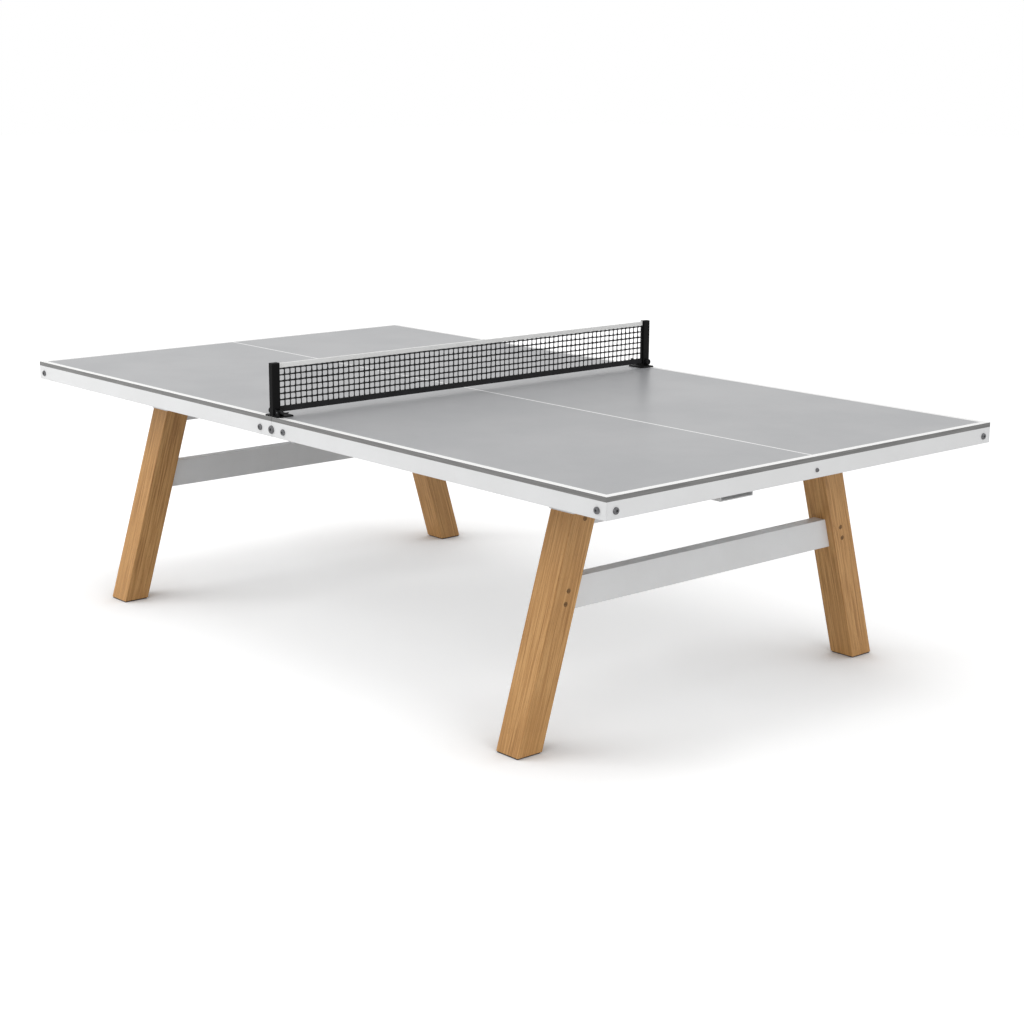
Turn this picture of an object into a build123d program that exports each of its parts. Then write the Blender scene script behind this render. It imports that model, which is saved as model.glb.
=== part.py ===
from build123d import *
import os
from math import cos, radians, tan

# Table tennis table. Millimetres, +Z up, origin on the floor at the middle of the table.
# X runs along the length, Y across the width. Front is -Y, right is +X.

# Playing top
table_length = 2740.0
table_width = 1525.0
table_height = 760.0
board_thickness = 13.0
seam_gap = 1.0

# Folded steel frame under the top
rail_depth = 45.0
sheet = 3.0
flange_width = 40.0
bearer_size = 40.0
bearer_wall = 2.0
mid_member_inner = 80.0
bracket_reach = 60.0
plate_height = 38.0
splice_reach = 76.0
seam_plate_reach = 70.0
bearer_y = 470.0
pad_width = 30.0

# Legs and beams
leg_lean = 16.6
leg_width = 85.0
leg_thickness = 86.0
leg_middle_x = 977.5
leg_foot_y = 680.0
leg_edge_radius = 1.5
glide_height = 4.0
glide_inset = 3.0
shoe_drop = 80.0
shoe_cheek = 18.0
beam_height = 85.0
beam_width = 40.0
beam_wall = 2.5
upper_beam_bottom = 580.0
lower_beam_bottom = 362.0
end_plate = 4.0
stud_diameter = 8.0
stud_reach = 46.0
stud_spacing = 34.0
dowel_diameter = 14.0
dowel_length = 60.0
slot_width = 1.6
slot_depth = 1.5
saddle_width = 130.0
saddle_length = 100.0
saddle_bottom = 600.0
leg_screw_diameter = 6.0
leg_screw_length = 40.0
leg_screw_head = 14.0

# Frame fasteners
bolt_diameter = 8.0
head_diameter = 18.0
head_height = 5.0
corner_bolt_inset = 31.0
splice_bolt_spacing = 57.0
splice_bolt_diameter = 10.0
splice_head_diameter = 24.0
end_bolt_diameter = 6.0
end_head_diameter = 11.0
screw_diameter = 4.0
screw_head = 9.0
screw_length = 12.0
first_screw_x = 220.0
screw_spacing = 300.0
end_screw_y = (160.0, 330.0, 600.0)
seam_screw_x = 40.0
seam_screw_y = (200.0, 600.0)
fit_gap = 0.1

# Net set
net_height = 152.5
post_width = 18.0
post_depth = 27.0
post_above_net = 2.0
cap_height = 4.0
foot_length = 66.0
foot_depth = 56.0
foot_plate = 4.0
spigot_diameter = 10.0
spigot_length = 24.0
bushing_diameter = 14.0
socket_clearance = 0.05
net_gap = 11.0
tape_height = 14.0
tape_thickness = 4.0
band_height = 17.0
mesh_thickness = 1.6
cord_diameter = 2.0
knob_diameter = 20.0
knob_length = 11.0
knob_height = 16.0
knob_shaft = 5.0
lever_pivot_x = 21.0
lever_pivot_height = 14.0
lever_pin = 4.0
lever_reach = 40.0
lever_width = 10.0
lug_thickness = 4.0
lug_gap = 0.3
knob_gap = 0.5
knob_shaft_length = 12.0
knob_notches = 10
soft_gap = 0.3

# Places worked out from the sizes above
half_length = table_length / 2
half_width = table_width / 2
board_bottom = table_height - board_thickness
rail_bottom = board_bottom - rail_depth
frame_top = board_bottom - sheet
bearer_bottom = frame_top - bearer_size
bolt_level = (rail_bottom + frame_top) / 2
web_inner_y = half_width - sheet
web_inner_x = half_length - sheet
slope = tan(radians(leg_lean))
leg_top = bearer_bottom - sheet
post_y = half_width - post_depth / 2
post_inner_y = half_width - post_depth
net_top = table_height + net_height
band_bottom = table_height + net_gap
cord_z = net_top - 3
knob_z = table_height + knob_height
lever_z = table_height + lever_pivot_height

ends = {"left": -1, "right": 1}
sides = {"front": -1, "back": 1}
corners = [(side, end, sy, sx) for side, sy in sides.items() for end, sx in ends.items()]


def box(x0, x1, y0, y1, z0, z1):
    """Block between two opposite corners, given in any order."""
    middle = ((x0 + x1) / 2, (y0 + y1) / 2, (z0 + z1) / 2)
    return Pos(*middle) * Box(abs(x1 - x0), abs(y1 - y0), abs(z1 - z0))


def rod(start, axis, diameter, length):
    """Round bar that runs from a point along a signed axis such as "+x" or "-y"."""
    turns = {"x": (0, 90, 0), "y": (-90, 0, 0), "z": (0, 0, 0)}
    back = 180 if axis[0] == "-" else 0
    flip = Rotation(back, 0, 0) if axis[1] != "x" else Rotation(0, back, 0)
    bar = Pos(0, 0, length / 2) * Cylinder(diameter / 2, length)
    return Pos(*start) * flip * Rotation(*turns[axis[1]]) * bar


def hexagon(start, axis, across_flats, length):
    """Six-sided bar that runs from a point along a signed axis."""
    blank = rod(start, axis, across_flats * 1.2, length)
    outline = RegularPolygon(across_flats / 2, 6, major_radius=False)
    prism = Rotation(0, 90, 0) if axis[1] == "x" else Rotation(90, 0, 0)
    bar = Pos(*start) * prism * extrude(outline, length, both=True)
    return blank & bar


def side_profile(points, x0, x1):
    """Plate or bar whose outline lies in the YZ plane, thick from x0 to x1."""
    face = make_face(Polyline([(0, y, z) for y, z in points], close=True))
    return Pos((x0 + x1) / 2, 0, 0) * extrude(face, abs(x1 - x0) / 2, dir=(1, 0, 0), both=True)


def leg_y(z):
    """Distance of a leg's middle from the table's centre line at a height."""
    return leg_foot_y - slope * z


def inner_y(z):
    return leg_y(z) - leg_thickness / 2


def outer_y(z):
    return leg_y(z) + leg_thickness / 2


def save(name, shape):
    """Writes one node; a list of pieces becomes a group of separate solids."""
    node = Compound(children=shape) if isinstance(shape, list) else shape
    export_step(node, f"parts/{name}.step")


def long_screw_x():
    return [first_screw_x + i * screw_spacing for i in range(4)]


def screw_places():
    """Where the screws come up through the flanges and the seam plate into the boards."""
    flange_y = web_inner_y - flange_width / 2
    flange_x = web_inner_x - flange_width / 2
    places = [(sx * x, sy * flange_y) for sx in (-1, 1) for sy in (-1, 1) for x in long_screw_x()]
    places += [(sx * flange_x, sy * y) for sx in (-1, 1) for sy in (-1, 1) for y in end_screw_y]
    places += [(sx * seam_screw_x, sy * y) for sx in (-1, 1) for sy in (-1, 1) for y in seam_screw_y]
    return places


def screw_holes():
    bottom = frame_top - 1
    top = frame_top + screw_length + fit_gap
    return [rod((x, y, bottom), "+z", screw_diameter + fit_gap, top - bottom) for x, y in screw_places()]


def socket_holes():
    top = table_height + 1
    return [rod((0, sy * post_y, top), "-z", bushing_diameter + fit_gap, 30) for sy in (-1, 1)]


def playing_board(sx):
    """Half of the playing top, with blind screw holes and half of each net socket's hole."""
    board = box(sx * seam_gap / 2, sx * half_length, -half_width, half_width, board_bottom, table_height)
    return board - screw_holes() - socket_holes()


def side_rail(sx, sy):
    """Half of a long rail: folded angle with its web outside and its flange under the board."""
    x0 = sx * seam_gap / 2
    web = box(x0, sx * half_length, sy * web_inner_y, sy * half_width, rail_bottom, board_bottom)
    flange_edge = web_inner_y - flange_width
    flange = box(x0, sx * web_inner_x, sy * flange_edge, sy * web_inner_y, frame_top, board_bottom)
    return web + flange - bolt_holes() - screw_holes() - socket_holes()


def end_rail(sx):
    """Short rail between the long rails."""
    web = box(sx * web_inner_x, sx * half_length, -web_inner_y, web_inner_y, rail_bottom, board_bottom)
    reach = web_inner_y - flange_width
    flange = box(sx * (web_inner_x - flange_width), sx * web_inner_x, -reach, reach, frame_top, board_bottom)
    return web + flange - bolt_holes() - screw_holes()


def corner_bracket(sx, sy):
    """Angle inside a corner that ties a long rail to a short one."""
    z0 = rail_bottom + 2
    z1 = z0 + plate_height
    x = sx * web_inner_x
    y = sy * web_inner_y
    along = box(x - sx * bracket_reach, x, y - sy * sheet, y, z0, z1)
    across = box(x - sx * sheet, x, y - sy * bracket_reach, y, z0, z1)
    return along + across - bolt_holes()


def splice_plate(sy):
    """Plate behind the joint of the two halves of a long rail."""
    z0 = rail_bottom + 2
    y = sy * web_inner_y
    plate = box(-splice_reach, splice_reach, y - sy * sheet, y, z0, z0 + plate_height)
    return plate - bolt_holes()


def bolt_places():
    """Each bolt through a rail: group, point on the face, inward axis, shank and head sizes."""
    places = []
    x_corner = half_length - corner_bolt_inset
    y_corner = half_width - corner_bolt_inset
    for sx, sy in ((1, 1), (1, -1), (-1, 1), (-1, -1)):
        inward_y = "-y" if sy > 0 else "+y"
        inward_x = "-x" if sx > 0 else "+x"
        long_face = (sx * x_corner, sy * half_width, bolt_level)
        short_face = (sx * half_length, sy * y_corner, bolt_level)
        places.append(("corner", long_face, inward_y, bolt_diameter, head_diameter))
        places.append(("corner", short_face, inward_x, bolt_diameter, head_diameter))
    for sy in (-1, 1):
        inward = "-y" if sy > 0 else "+y"
        for sx in (-1, 1):
            start = (sx * splice_bolt_spacing, sy * half_width, bolt_level)
            places.append(("splice", start, inward, bolt_diameter, head_diameter))
        start = (0, sy * half_width, bolt_level)
        places.append(("splice_centre", start, inward, splice_bolt_diameter, splice_head_diameter))
    for sx in (-1, 1):
        start = (sx * half_length, 0, bolt_level)
        places.append(("end", start, "-x" if sx > 0 else "+x", end_bolt_diameter, end_head_diameter))
    return places


def bolt_holes():
    """Clearance holes for the rail bolts, through web and bracket."""
    return [rod(start, axis, shank + fit_gap, 2 * sheet + 1) for _, start, axis, shank, _ in bolt_places()]


def moved_along(start, axis, distance):
    """Point a distance along a signed axis."""
    step = distance if axis[0] == "+" else -distance
    return tuple(value + (step if letter == axis[1] else 0) for value, letter in zip(start, "xyz"))


def rail_bolt(start, axis, shank, head):
    """Button-head bolt with a hexagon socket, its head on the rail's outer face."""
    outside = moved_along(start, axis, -head_height)
    button = rod(outside, axis, head, head_height)
    face = Vector(*start)
    rim = button.edges().filter_by(GeomType.CIRCLE).sort_by(lambda e: (e.center() - face).length)[-1]
    button = fillet(rim, head_height * 0.6)
    socket = hexagon(moved_along(outside, axis, -1), axis, head * 0.36, head_height * 0.6 + 1)
    return button + rod(start, axis, shank, 2 * sheet + shank) - socket


def rail_bolts(group):
    return [rail_bolt(*place[1:]) for place in bolt_places() if place[0] == group]


def rail_nuts():
    """Hexagon nuts behind the corner brackets and the splice plates."""
    nuts = []
    for name, start, axis, shank, _ in bolt_places():
        if name == "end":
            continue
        seat = moved_along(start, axis, 2 * sheet)
        nut = hexagon(seat, axis, shank * 1.6, shank * 0.8)
        nuts.append(nut - rod(seat, axis, shank + fit_gap, shank))
    return nuts


def board_screws():
    """Pan-head screws from below into the boards."""
    screws = []
    for x, y in screw_places():
        under = frame_top
        head = rod((x, y, under), "-z", screw_head, 2.4)
        screws.append(head + rod((x, y, under), "+z", screw_diameter, screw_length))
    return screws


def bearer(sx, y):
    """Square tube along the table, from the member at mid length to the end rail."""
    x0 = mid_member_inner + bearer_size
    half = bearer_size / 2
    tube = box(sx * x0, sx * web_inner_x, y - half, y + half, bearer_bottom, frame_top)
    core = half - bearer_wall
    x1 = web_inner_x - sheet
    inside = box(sx * x0, sx * x1, y - core, y + core, bearer_bottom + bearer_wall, frame_top - bearer_wall)
    return tube - inside - bolt_holes()


def mid_member(sx):
    """Square tube across the table on each side of the seam."""
    x0, x1 = mid_member_inner, mid_member_inner + bearer_size
    wall = bearer_wall
    tube = box(sx * x0, sx * x1, -web_inner_y, web_inner_y, bearer_bottom, frame_top)
    core_bottom = bearer_bottom + wall
    core_top = frame_top - wall
    inside = box(sx * (x0 + wall), sx * (x1 - wall), -half_width, half_width, core_bottom, core_top)
    return tube - inside


def seam_plate():
    """Flat plate under the seam, screwed to both boards."""
    reach = web_inner_y - flange_width - sheet
    return box(-seam_plate_reach, seam_plate_reach, -reach, reach, frame_top, board_bottom) - screw_holes()


def board_pads():
    """Rubber strips that fill the gap between the tubes and the boards."""
    pads = []
    half = pad_width / 2
    reach = web_inner_y - flange_width - sheet
    for sx in (-1, 1):
        middle = sx * (mid_member_inner + bearer_size / 2)
        pads.append(box(middle - half, middle + half, -reach, reach, frame_top, board_bottom))
        x0 = sx * (mid_member_inner + bearer_size)
        x1 = sx * (web_inner_x - flange_width - sheet)
        for y in (-bearer_y, 0, bearer_y):
            pads.append(box(x0, x1, y - half, y + half, frame_top, board_bottom))
    return pads


def leaning_bar(sy, bottom, top, near, far, x0, x1):
    """Bar that follows a leg's slope; near and far give its two faces' distance at a height."""
    outline = [(sy * near(bottom), bottom), (sy * far(bottom), bottom)]
    outline += [(sy * far(top), top), (sy * near(top), top)]
    return side_profile(outline, x0, x1)


def leg(sx, sy):
    """Square-cut leaning timber with holes for the beam studs, cross dowels and shoe screws."""
    x = sx * leg_middle_x
    half = leg_width / 2
    timber = leaning_bar(sy, glide_height, leg_top, inner_y, outer_y, x - half, x + half)
    upright = timber.edges().filter_by(lambda e: abs(e.tangent_at(0).Z) > 0.5)
    timber = fillet(upright, leg_edge_radius)
    return timber - stud_holes(sx, sy) - dowel_holes(sx, sy) - shoe_screw_holes(sx, sy)


def leg_shoe(sx, sy):
    """Folded plate that caps a leg and wraps its outer edges."""
    x = sx * leg_middle_x
    half = leg_width / 2
    lean_sheet = sheet / cos(radians(leg_lean))
    bottom = bearer_bottom - shoe_drop

    def outside(z):
        return outer_y(z) + lean_sheet

    def cheek_edge(z):
        return outer_y(z) - shoe_cheek

    wide = half + sheet
    shoe = leaning_bar(sy, leg_top, bearer_bottom, inner_y, outside, x - wide, x + wide)
    shoe += leaning_bar(sy, bottom, leg_top, outer_y, outside, x - wide, x + wide)
    for edge in (-1, 1):
        shoe += leaning_bar(sy, bottom, leg_top, cheek_edge, outside, x + edge * half, x + edge * wide)
    return shoe - shoe_screw_holes(sx, sy)


def shoe_screw(sx, sy, index, extra, with_head):
    """Screw square to a leg's outer face, through the shoe; extra widens it into its hole."""
    z = bearer_bottom - shoe_drop * 0.45
    x = sx * leg_middle_x + (index - 0.5) * leg_width * 0.5
    face = outer_y(z) + sheet / cos(radians(leg_lean))
    inward = "-y" if sy > 0 else "+y"
    bar = rod((0, 0, 0), inward, leg_screw_diameter + extra, leg_screw_length)
    if with_head:
        outward = "+y" if sy > 0 else "-y"
        bar += rod((0, 0, 0), outward, leg_screw_head, 3)
    return Pos(x, sy * face, z) * Rotation(sy * leg_lean, 0, 0) * bar


def shoe_screw_holes(sx, sy):
    return [shoe_screw(sx, sy, i, fit_gap, False) for i in (0, 1)]


def stud_levels():
    """Heights of the studs: two in each beam."""
    middles = [bottom + beam_height / 2 for bottom in (lower_beam_bottom, upper_beam_bottom)]
    return [middle + sign * stud_spacing / 2 for middle in middles for sign in (-1, 1)]


def stud(sx, sy, z, diameter):
    """Horizontal stud from a beam's end plate into the leg."""
    outward = "+y" if sy > 0 else "-y"
    return rod((sx * leg_middle_x, sy * (inner_y(z) - 1), z), outward, diameter, stud_reach + 1)


def stud_holes(sx, sy):
    return [stud(sx, sy, z, stud_diameter + fit_gap) for z in stud_levels()]


def dowel_y(z):
    """How far out a cross dowel sits, near the end of its stud."""
    return inner_y(z) + stud_reach - dowel_diameter / 2 - 1


def cross_dowel(sx, sy, z, diameter, length):
    """Round steel nut across the leg, flush with its end face."""
    outer_x = sx * (leg_middle_x + leg_width / 2)
    return rod((outer_x, sy * dowel_y(z), z), "-x" if sx > 0 else "+x", diameter, length)


def dowel_holes(sx, sy):
    diameter = dowel_diameter + fit_gap
    return [cross_dowel(sx, sy, z, diameter, dowel_length + fit_gap) for z in stud_levels()]


def cross_dowels(sx):
    """All the cross dowels at one end of the table."""
    pieces = []
    outer_x = sx * (leg_middle_x + leg_width / 2)
    reach = dowel_diameter
    half = slot_width / 2
    for sy in (-1, 1):
        for z in stud_levels():
            dowel = cross_dowel(sx, sy, z, dowel_diameter, dowel_length)
            y = sy * dowel_y(z)
            slot = box(outer_x, outer_x - sx * slot_depth, y - reach, y + reach, z - half, z + half)
            pieces.append(dowel - stud(sx, sy, z, stud_diameter + fit_gap) - slot)
    return pieces


def plate_y(z):
    """Inner side of a beam's end plate."""
    return inner_y(z) - end_plate / cos(radians(leg_lean))


def beam(sx, bottom):
    """Box-section beam between two legs, its ends cut to their slope."""
    top = bottom + beam_height
    wall = beam_wall
    x = sx * leg_middle_x
    half = beam_width / 2
    outline = [(-plate_y(bottom), bottom), (plate_y(bottom), bottom)]
    outline += [(plate_y(top), top), (-plate_y(top), top)]
    bar = side_profile(outline, x - half, x + half)
    inside = box(x - half + wall, x + half - wall, -half_width, half_width, bottom + wall, top - wall)
    return bar - inside


def end_plates(sx):
    """Sloping plates welded in the ends of both beams, each with two studs."""
    x = sx * leg_middle_x
    half = beam_width / 2
    pieces = []
    for bottom in (lower_beam_bottom, upper_beam_bottom):
        top = bottom + beam_height
        levels = [z for z in stud_levels() if bottom < z < top]
        for sy in (-1, 1):
            plate = leaning_bar(sy, bottom, top, plate_y, inner_y, x - half, x + half)
            pieces.append(plate + [stud(sx, sy, z, stud_diameter) for z in levels])
    return pieces


def saddle(sx):
    """Folded box bracket that ties the centre bearer to the upper beam."""
    x0 = sx * (leg_middle_x + beam_width / 2)
    x1 = x0 + sx * saddle_length
    half = saddle_width / 2
    shell = box(x0, x1, -half, half, saddle_bottom, bearer_bottom)
    inside = box(x0, x1, -half + sheet, half - sheet, saddle_bottom + sheet, bearer_bottom - sheet)
    return shell - inside


def glide(sx, sy):
    """Plastic pad under a leg."""
    half = leg_width / 2 - glide_inset
    x = sx * leg_middle_x
    near = sy * (inner_y(0) + glide_inset)
    far = sy * (outer_y(0) - glide_inset)
    return box(x - half, x + half, near, far, 0, glide_height)


def net_socket(sy):
    """Bushing in the boards' seam that takes a net post's spigot."""
    mouth = (0, sy * post_y, table_height)
    tube = rod(mouth, "-z", bushing_diameter, spigot_length - 2)
    return tube - rod(mouth, "-z", spigot_diameter + 2 * socket_clearance, spigot_length)


def turned(shape, sy):
    """Net parts are drawn for the front post; the back ones are the same, turned half way round."""
    return shape if sy < 0 else Rotation(0, 0, 180) * shape


def net_post():
    """Square post with a bore for the tension knob and a small hole for the cord."""
    top = net_top + post_above_net - cap_height
    half = post_width / 2
    post = box(-half, half, -half_width, -post_inner_y, table_height + foot_plate, top)
    post = fillet(post.edges().filter_by(Axis.Z), 2)
    bore = rod((-half, -post_y, knob_z), "+x", knob_shaft + 2 * socket_clearance, knob_shaft_length)
    cord_hole = rod((0, -post_inner_y, cord_z), "-y", cord_diameter + fit_gap, post_depth / 2)
    return post - bore - cord_hole


def post_cap():
    top = net_top + post_above_net
    half = post_width / 2
    cap = box(-half, half, -half_width, -post_inner_y, top - cap_height, top)
    cap = fillet(cap.edges().filter_by(Axis.Z), 2)
    return fillet(cap.faces().sort_by(Axis.Z)[-1].edges(), 1.5)


def net_foot():
    """Foot plate with a spigot below it and two lugs that hold the lever's pin."""
    half = foot_length / 2
    base = table_height + foot_plate
    plate = box(-half, half, -half_width, -half_width + foot_depth, table_height, base)
    plate = fillet(plate.edges().filter_by(Axis.Z), 5)
    plate = fillet(plate.faces().sort_by(Axis.Z)[-1].edges(), 1)
    foot = plate + rod((0, -post_y, table_height), "-z", spigot_diameter, spigot_length)
    x0 = post_width / 2
    outline = [(x0, base), (half - 2, base), (half - 2, base + 3), (half - 6, base + 15), (x0, base + 19)]
    for sign in (-1, 1):
        y = -post_y + sign * (lever_width / 2 + lug_gap + lug_thickness / 2)
        face = make_face(Polyline([(x, 0, z) for x, z in outline], close=True))
        foot += Pos(0, y, 0) * extrude(face, lug_thickness / 2, dir=(0, 1, 0), both=True)
    return foot - rod((lever_pivot_x, -half_width, lever_z), "+y", lever_pin + fit_gap / 2, foot_depth)


def lever_pin_piece():
    length = lever_width + 2 * (lug_gap + lug_thickness)
    return rod((lever_pivot_x, -post_y - length / 2, lever_z), "+y", lever_pin, length)


def lock_lever():
    """Flat lever with a round eye; it lies level and swings up."""
    half = lever_width / 2
    tip = lever_pivot_x + lever_reach
    eye = rod((lever_pivot_x, -post_y - half, lever_z), "+y", 12, lever_width)
    outline = [(lever_pivot_x, lever_z - 3), (tip - 12, lever_z - 2), (tip, lever_z + 3)]
    outline += [(tip - 1, lever_z + 6), (tip - 13, lever_z + 2), (lever_pivot_x, lever_z + 4)]
    face = make_face(Polyline([(x, 0, z) for x, z in outline], close=True))
    arm = Pos(0, -post_y, 0) * extrude(face, half, dir=(0, 1, 0), both=True)
    hole = rod((lever_pivot_x, -half_width, lever_z), "+y", lever_pin + 2 * socket_clearance, foot_depth)
    return eye + arm - hole


def tension_knob():
    """Notched knob on a short shaft in the post's side."""
    face_x = -post_width / 2 - knob_gap
    knob = rod((face_x, -post_y, knob_z), "-x", knob_diameter, knob_length)
    rim = knob.edges().filter_by(GeomType.CIRCLE).sort_by(Axis.X)[0]
    knob = fillet(rim, 2)
    notch = rod((face_x + 1, -post_y, knob_z + knob_diameter / 2 + 0.6), "-x", 3, knob_length + 2)
    middle = Pos(0, -post_y, knob_z)
    back = Pos(0, post_y, -knob_z)
    for i in range(knob_notches):
        knob -= middle * Rotation(360 / knob_notches * i, 0, 0) * back * notch
    return knob + rod((face_x, -post_y, knob_z), "+x", knob_shaft, knob_shaft_length)


def net_strip(z0, z1, thickness):
    """Full-width strip of the net between the posts."""
    reach = post_inner_y - soft_gap
    return box(-thickness / 2, thickness / 2, -reach, reach, z0, z1)


def net_tape():
    """Doubled tape with a sleeve for the cord."""
    sleeve = rod((0, -half_width, cord_z), "+y", cord_diameter + 2 * fit_gap, table_width)
    return net_strip(net_top - tape_height, net_top, tape_thickness) - sleeve


def net_cord():
    reach = post_inner_y + post_depth / 2 - 2
    return rod((0, -reach, cord_z), "+y", cord_diameter, 2 * reach)


os.makedirs("parts", exist_ok=True)
for end, sx in ends.items():
    save(f"playing_board_{end}", playing_board(sx))
    save(f"end_rail_{end}", end_rail(sx))
    save(f"centre_bearer_{end}", bearer(sx, 0))
    save(f"mid_member_{end}", mid_member(sx))
    save(f"upper_beam_{end}", beam(sx, upper_beam_bottom))
    save(f"lower_beam_{end}", beam(sx, lower_beam_bottom))
    save(f"saddle_{end}", saddle(sx))
for side, end, sy, sx in corners:
    save(f"side_rail_{side}_{end}", side_rail(sx, sy))
    save(f"bearer_{side}_{end}", bearer(sx, sy * bearer_y))
    save(f"leg_{side}_{end}", leg(sx, sy))
    save(f"leg_shoe_{side}_{end}", leg_shoe(sx, sy))
save("foot_glides", [glide(sx, sy) for _, _, sy, sx in corners])
save("shoe_screws", [shoe_screw(sx, sy, i, 0, True) for _, _, sy, sx in corners for i in (0, 1)])
for side, sy in sides.items():
    save(f"net_socket_{side}", net_socket(sy))
    save(f"net_post_{side}", turned(net_post(), sy))
    save(f"net_foot_{side}", turned(net_foot(), sy))
    save(f"lock_lever_{side}", turned(lock_lever(), sy))
    save(f"tension_knob_{side}", turned(tension_knob(), sy))
save("corner_brackets", [corner_bracket(sx, sy) for _, _, sy, sx in corners])
save("splice_plates", [splice_plate(sy) for sy in (-1, 1)])
save("seam_plate", seam_plate())
save("board_pads", board_pads())
save("corner_bolts", rail_bolts("corner"))
save("splice_bolts", rail_bolts("splice") + rail_bolts("splice_centre"))
save("end_rail_bolts", rail_bolts("end"))
save("rail_nuts", rail_nuts())
save("board_screws", board_screws())
save("beam_end_plates", [plate for sx in (-1, 1) for plate in end_plates(sx)])
save("cross_dowels", [dowel for sx in (-1, 1) for dowel in cross_dowels(sx)])
save("post_caps", [turned(post_cap(), sy) for sy in (-1, 1)])
save("lever_pins", [turned(lever_pin_piece(), sy) for sy in (-1, 1)])
save("net_mesh", net_strip(band_bottom + band_height, net_top - tape_height, mesh_thickness))
save("net_tape", net_tape())
save("net_bottom_band", net_strip(band_bottom, band_bottom + band_height, tape_thickness))
save("net_cord", net_cord())
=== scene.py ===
"""The looks of a full-size table-tennis table: grey boards on a white steel frame with leaning timber legs, and a
black net between two posts that plug into the boards' seam. Everything is in metres, in the table's own frame."""

from math import cos, pi, radians, sin

import bpy
import numpy as np
from mathutils import Matrix, Vector


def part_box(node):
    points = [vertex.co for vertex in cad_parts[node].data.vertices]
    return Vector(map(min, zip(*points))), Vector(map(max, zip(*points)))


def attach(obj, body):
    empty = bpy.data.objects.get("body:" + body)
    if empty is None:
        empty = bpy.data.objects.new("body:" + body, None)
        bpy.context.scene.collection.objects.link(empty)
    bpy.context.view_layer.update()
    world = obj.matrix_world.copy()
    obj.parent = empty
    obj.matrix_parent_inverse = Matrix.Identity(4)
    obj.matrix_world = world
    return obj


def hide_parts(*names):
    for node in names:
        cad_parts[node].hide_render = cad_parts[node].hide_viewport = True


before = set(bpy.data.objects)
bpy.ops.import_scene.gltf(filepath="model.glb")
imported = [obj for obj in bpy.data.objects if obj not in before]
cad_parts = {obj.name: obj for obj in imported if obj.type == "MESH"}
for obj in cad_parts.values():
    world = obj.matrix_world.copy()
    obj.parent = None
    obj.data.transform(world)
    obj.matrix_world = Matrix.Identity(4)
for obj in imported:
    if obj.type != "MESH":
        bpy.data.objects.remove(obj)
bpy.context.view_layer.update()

# ---- Playing boards ------------------------------------------------------------------------------------------
# Two 13 mm boards of grey high-pressure laminate that meet under the net. The white lines are screen printed on
# the pressed sheet, which is sawn afterwards, so the border runs to the edge and the darker core shows below it.

boards = ["playing_board_left", "playing_board_right"]
board_low, board_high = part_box("playing_board_right")
border_line = 0.020
centre_line = 0.006
line_wander = 0.00012
board_grey = (0.306, 0.309, 0.317, 1)
board_grey_cool = (0.292, 0.296, 0.306, 1)
line_white = (0.88, 0.88, 0.87, 1)
core_grey = (0.234, 0.232, 0.227, 1)
core_grey_dark = (0.150, 0.149, 0.147, 1)
backing_grey = (0.200, 0.202, 0.206, 1)
backing_dull = (0.180, 0.181, 0.184, 1)


def wire(tree, made, inputs):
    """Sockets among the inputs are linked, and other values are set on the node's own sockets."""
    for name, value in dict(inputs).items():
        if isinstance(value, bpy.types.NodeSocket):
            tree.links.new(value, made.inputs[name])
        else:
            made.inputs[name].default_value = value
    return made


def add(tree, kind, inputs=(), **settings):
    made = tree.nodes.new("ShaderNode" + kind)
    for name, value in settings.items():
        setattr(made, name, value)
    return wire(tree, made, inputs)


def calc(tree, operation, *values, clamp=False):
    return add(tree, "Math", enumerate(values), operation=operation, use_clamp=clamp).outputs[0]


def span(tree, value, start, end, low=0.0, high=1.0):
    """Carries value from start..end to low..high along a smooth step."""
    inputs = {0: value, 1: start, 2: end, 3: low, 4: high}
    return add(tree, "MapRange", inputs, interpolation_type="SMOOTHSTEP").outputs[0]


def mixed(tree, share, first, second, how="MIX"):
    inputs = {0: share, 6: first, 7: second}
    return add(tree, "Mix", inputs, data_type="RGBA", blend_type=how).outputs[2]


def noise(tree, place, scale, detail=2.0, roughness=0.5):
    inputs = {"Vector": place, "Scale": scale, "Detail": detail, "Roughness": roughness}
    return add(tree, "TexNoise", inputs).outputs["Fac"]


def new_group(name, takes, gives):
    """An empty shader group, with its input and output nodes. takes holds (socket, kind, value) rows."""
    tree = bpy.data.node_groups.new(name, "ShaderNodeTree")
    for socket, kind, value in takes:
        made = tree.interface.new_socket(socket, in_out="INPUT", socket_type="NodeSocket" + kind)
        if value is not None:
            made.default_value = value
    for socket, kind in gives:
        tree.interface.new_socket(socket, in_out="OUTPUT", socket_type="NodeSocket" + kind)
    return tree, tree.nodes.new("NodeGroupInput").outputs, tree.nodes.new("NodeGroupOutput")


def use(tree, group, inputs):
    made = tree.nodes.new("ShaderNodeGroup")
    made.node_tree = group
    return wire(tree, made, inputs).outputs


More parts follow.
